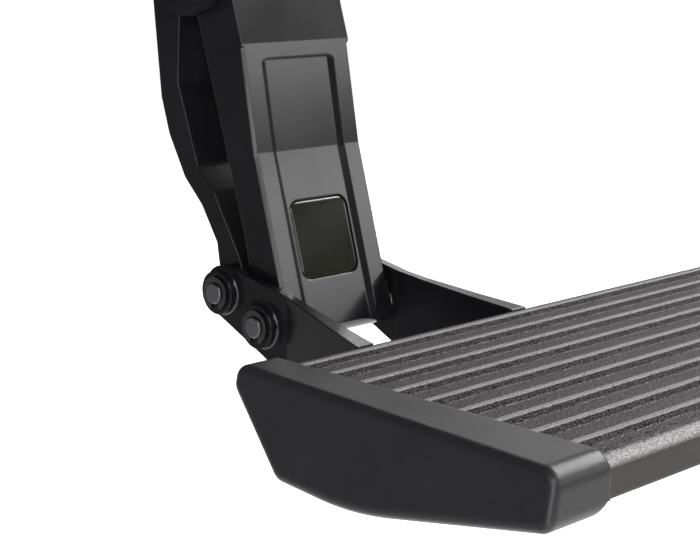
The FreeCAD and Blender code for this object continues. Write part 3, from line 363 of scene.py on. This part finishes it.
def finished_piece(shape, name, node, slot):
    """Put a shape in the place of a node, on the node's own body."""
    mesh = bpy.data.meshes.new(name)
    shape.to_mesh(mesh)
    shape.free()
    piece = bpy.data.objects.new(name, mesh)
    bpy.context.collection.objects.link(piece)
    mesh.materials.append(finishes[slot])
    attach(piece, body_names[node])
    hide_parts(node)


def rounded_casting(node):
    """The casting with its sharp outer edges rounded."""
    shape = merged_copy(node)
    sharp = [edge for edge in shape.edges if len(edge.link_faces) == 2 and edge.is_convex
             and edge.calc_face_angle() > SHARP_ANGLE and edge.calc_length() > 2.0 * ARM_ROUNDING]
    round_off(shape, sharp, ARM_ROUNDING, ARM_ROUNDING_STEPS)
    for face in shape.faces:
        face.smooth = False
    finished_piece(shape, node + "_rounded", node, "coated_casting")


def badge_lens(node):
    """The blank badge plate with a rounded rim, like a cast resin lens."""
    shape = merged_copy(node)
    outward = [face for face in shape.faces if face.normal.y < -0.5]
    front = max(outward, key=lambda face: face.calc_area())
    round_off(shape, list(front.edges), LENS_ROUNDING, LENS_ROUNDING_STEPS)
    finished_piece(shape, node.replace("plate", "lens"), node, "badge")


for side in ("near", "far"):
    rounded_casting(side + "_inner_arm")
    badge_lens(side + "_badge_plate")


# Floor, light and camera

def floor_fade(tree, where, heading, start, end, least):
    """Full brightness that falls off along a heading, between two distances."""
    turn = tree.nodes.new("ShaderNodeVectorRotate")
    turn.rotation_type = "Z_AXIS"
    turn.inputs["Angle"].default_value = math.radians(-heading)
    tree.links.new(where, turn.inputs["Vector"])
    return spread(tree, axis_of(tree, turn.outputs["Vector"], "X"), start, end, 1.0, least)


def pale_floor():
    """White floor, a little darker far to the left and to the right of the view."""
    shape = bmesh.new()
    bmesh.ops.create_grid(shape, x_segments=2, y_segments=2, size=FLOOR_HALF_SIZE)
    bmesh.ops.translate(shape, verts=shape.verts, vec=(0.0, 0.0, FLOOR_HEIGHT))
    mesh = bpy.data.meshes.new("pale_floor")
    shape.to_mesh(mesh)
    shape.free()
    floor = bpy.data.objects.new("pale_floor", mesh)
    bpy.context.collection.objects.link(floor)
    finish, tree, shader, where = new_finish("pale_floor")
    shader.inputs["Roughness"].default_value = 0.9
    glow = reckon(tree, "MULTIPLY", floor_fade(tree, where, *LEFT_FADE), floor_fade(tree, where, *RIGHT_FADE))
    tint = blend_colours(tree, glow, (0.03, 0.03, 0.03), (0.80, 0.80, 0.80))
    tree.links.new(tint, shader.inputs["Base Color"])
    tree.links.new(blend_colours(tree, glow, BLACK, WHITE), shader.inputs["Emission Color"])
    shader.inputs["Emission Strength"].default_value = FLOOR_GLOW
    mesh.materials.append(finish)


def soft_box(name, aim, heading, rise, away, size, glow):
    """A rectangular lamp seen from a spot at a heading and rise, with a given brightness."""
    light = bpy.data.lights.new(name, "AREA")
    light.shape = "RECTANGLE"
    light.size, light.size_y = size
    light.energy = glow * math.pi * size[0] * size[1]
    lamp = bpy.data.objects.new(name, light)
    bpy.context.collection.objects.link(lamp)
    turn = math.radians(heading)
    lift = math.radians(rise)
    out = away * Vector((math.cos(lift) * math.cos(turn), math.cos(lift) * math.sin(turn), math.sin(lift)))
    lamp.location = Vector(aim) + out
    lamp.rotation_euler = (-out).to_track_quat("-Z", "Y").to_euler()
    lamp.visible_camera = False


def photo_camera():
    data = bpy.data.cameras.new("camera")
    data.sensor_width = SENSOR_WIDTH
    data.lens = SENSOR_WIDTH * FOCAL_PIXELS / IMAGE_WIDTH
    data.clip_start = CLIP_NEAR
    data.clip_end = CLIP_FAR
    camera = bpy.data.objects.new("camera", data)
    bpy.context.collection.objects.link(camera)
    camera.location = CAMERA_PLACE
    flat = math.cos(CAMERA_DIP)
    look = Vector((flat * math.cos(CAMERA_HEADING), flat * math.sin(CAMERA_HEADING), -math.sin(CAMERA_DIP)))
    camera.rotation_euler = look.to_track_quat("-Z", "Y").to_euler()
    bpy.context.scene.camera = camera


pale_floor()
world = bpy.data.worlds.new("studio")
world.use_nodes = True
sky = world.node_tree.nodes["Background"]
sky.inputs["Color"].default_value = WHITE + (1.0,)
sky.inputs["Strength"].default_value = SKY_STRENGTH
bpy.context.scene.world = world
bpy.context.scene.view_settings.view_transform = "Standard"
for lamp_facts in LAMPS:
    soft_box(*lamp_facts)
photo_camera()
